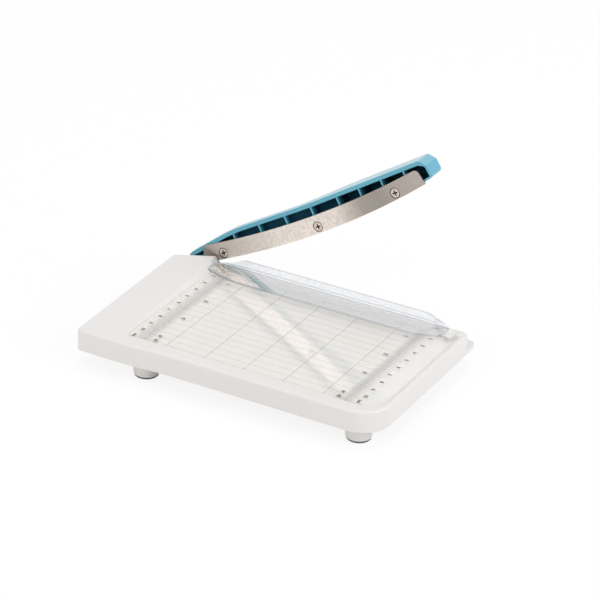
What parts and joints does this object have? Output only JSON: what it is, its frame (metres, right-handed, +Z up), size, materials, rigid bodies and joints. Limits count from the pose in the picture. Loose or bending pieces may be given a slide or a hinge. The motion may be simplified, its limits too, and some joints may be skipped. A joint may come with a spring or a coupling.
{
  "type": "paper trimmer",
  "caption": "Small desk paper trimmer: ruled clear table on a moulded base with feet, steel bed knife, clear guard, and a curved blade on a ribbed swinging arm.",
  "frame": {"origin": "on the surface the trimmer stands on, under the middle of its bounding box with the arm raised as in the rest pose", "axes": "+X along the cut from the pivot to the grip, +Y from the front of the table to the arm behind it, +Z up"},
  "size_m": [0.1932, 0.1344, 0.1198],
  "materials": {
    "housing": "satin, off-white",
    "cover": "matte, light grey",
    "clear": "clear, polished",
    "card": "printed, off-white",
    "steel": "fine ground",
    "screw": "plated",
    "foot": "satin, light grey",
    "rubber": "matte",
    "arm": "satin, light teal blue",
    "bush": "satin",
    "friction": "natural nylon"
  },
  "bodies": {
    "base": {"base_housing": "housing", "bottom_cover": "cover", "cover_screws": "screw", "grid_card": "card", "table_plate": "clear", "bed_knife": "steel", "bed_knife_screws": "screw", "guard": "clear", "guard_screws": "screw", "foot_front_left": "foot", "foot_front_right": "foot", "foot_rear_left": "foot", "foot_rear_right": "foot", "foot_pad_front_left": "rubber", "foot_pad_front_right": "rubber", "foot_pad_rear_left": "rubber", "foot_pad_rear_right": "rubber", "foot_screws": "screw", "pivot_bolt": "screw", "pivot_washer": "screw", "spring_washer": "steel", "friction_washer": "friction", "pivot_nut": "screw"},
    "arm": {"arm_handle": "arm", "blade": "steel", "blade_screws": "screw", "pivot_bush": "bush"}
  },
  "joints": [
    {"name": "arm_hinge", "type": "hinge", "parent": "base", "child": "arm", "pos_m": [-0.0854, 0.0519, 0.016], "axis": [0, -1, 0], "range_deg": [-30.4, 50]}
  ]
}
